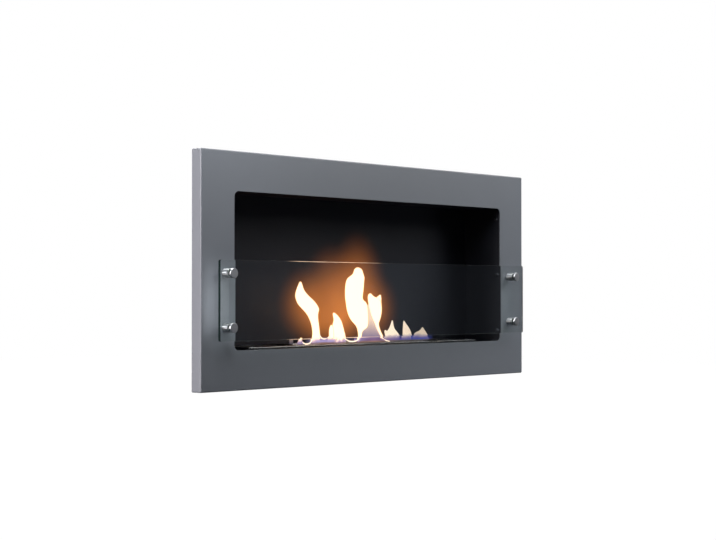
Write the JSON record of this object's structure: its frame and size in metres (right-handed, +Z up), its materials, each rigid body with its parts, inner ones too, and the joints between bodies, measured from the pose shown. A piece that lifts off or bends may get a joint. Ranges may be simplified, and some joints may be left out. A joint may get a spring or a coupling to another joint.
{
  "type": "bioethanol fireplace",
  "caption": "Wall-hung bioethanol fireplace: grey folded frame, black firebox, lift-out steel burner with sliding shutter, and a clear glass pane on standoffs.",
  "frame": {"origin": "on the wall plane, in the middle of the upper hanger strip's rear face, half way between the keyholes", "axes": "+X right along the width, +Y into the wall (the front and the glass face -Y), +Z up"},
  "size_m": [0.9, 0.1246, 0.4],
  "materials": {
    "grey_powder_coat": "fine satin powder coat",
    "black_stove_paint": "matt heat-resistant paint",
    "stainless_steel": "fine brushed",
    "galvanised_steel": "bright zinc",
    "clear_glass": "clear toughened, polished edges",
    "clear_silicone": "translucent matt",
    "ceramic_wool": "matt needled fibre"
  },
  "bodies": {
    "casing": {"front_frame": "grey_powder_coat", "opening_collar": "black_stove_paint", "side_rivet_left_1": "black_stove_paint", "side_rivet_left_2": "black_stove_paint", "side_rivet_left_3": "black_stove_paint", "side_rivet_right_1": "black_stove_paint", "side_rivet_right_2": "black_stove_paint", "side_rivet_right_3": "black_stove_paint", "firebox_left_side": "black_stove_paint", "firebox_right_side": "black_stove_paint", "firebox_top": "black_stove_paint", "firebox_floor": "black_stove_paint", "firebox_back": "black_stove_paint", "upper_hanger_strip": "galvanised_steel", "lower_spacer_strip": "galvanised_steel", "burner_well": "galvanised_steel", "glass_pane": "clear_glass", "standoff_barrel_lower_left": "stainless_steel", "standoff_barrel_upper_left": "stainless_steel", "standoff_barrel_lower_right": "stainless_steel", "standoff_barrel_upper_right": "stainless_steel", "standoff_cap_lower_left": "stainless_steel", "standoff_cap_upper_left": "stainless_steel", "standoff_cap_lower_right": "stainless_steel", "standoff_cap_upper_right": "stainless_steel", "standoff_stud_lower_left": "stainless_steel", "standoff_stud_upper_left": "stainless_steel", "standoff_stud_lower_right": "stainless_steel", "standoff_stud_upper_right": "stainless_steel", "standoff_nut_lower_left": "stainless_steel", "standoff_nut_upper_left": "stainless_steel", "standoff_nut_lower_right": "stainless_steel", "standoff_nut_upper_right": "stainless_steel", "rear_gasket_lower_left": "clear_silicone", "rear_gasket_upper_left": "clear_silicone", "rear_gasket_lower_right": "clear_silicone", "rear_gasket_upper_right": "clear_silicone", "front_gasket_lower_left": "clear_silicone", "front_gasket_upper_left": "clear_silicone", "front_gasket_lower_right": "clear_silicone", "front_gasket_upper_right": "clear_silicone"},
    "burner": {"fuel_container": "stainless_steel", "wool_core": "ceramic_wool", "burner_deck": "stainless_steel", "shutter_guide_left": "stainless_steel", "shutter_guide_right": "stainless_steel"},
    "shutter": {"shutter_plate": "stainless_steel"}
  },
  "joints": [
    {"name": "burner_lift", "type": "slide", "parent": "casing", "child": "burner", "axis": [0, 0, 1], "range_m": [0, 0.2]},
    {"name": "shutter_slide", "type": "slide", "parent": "burner", "child": "shutter", "axis": [0, -1, 0], "range_m": [0, 0.0255]}
  ]
}
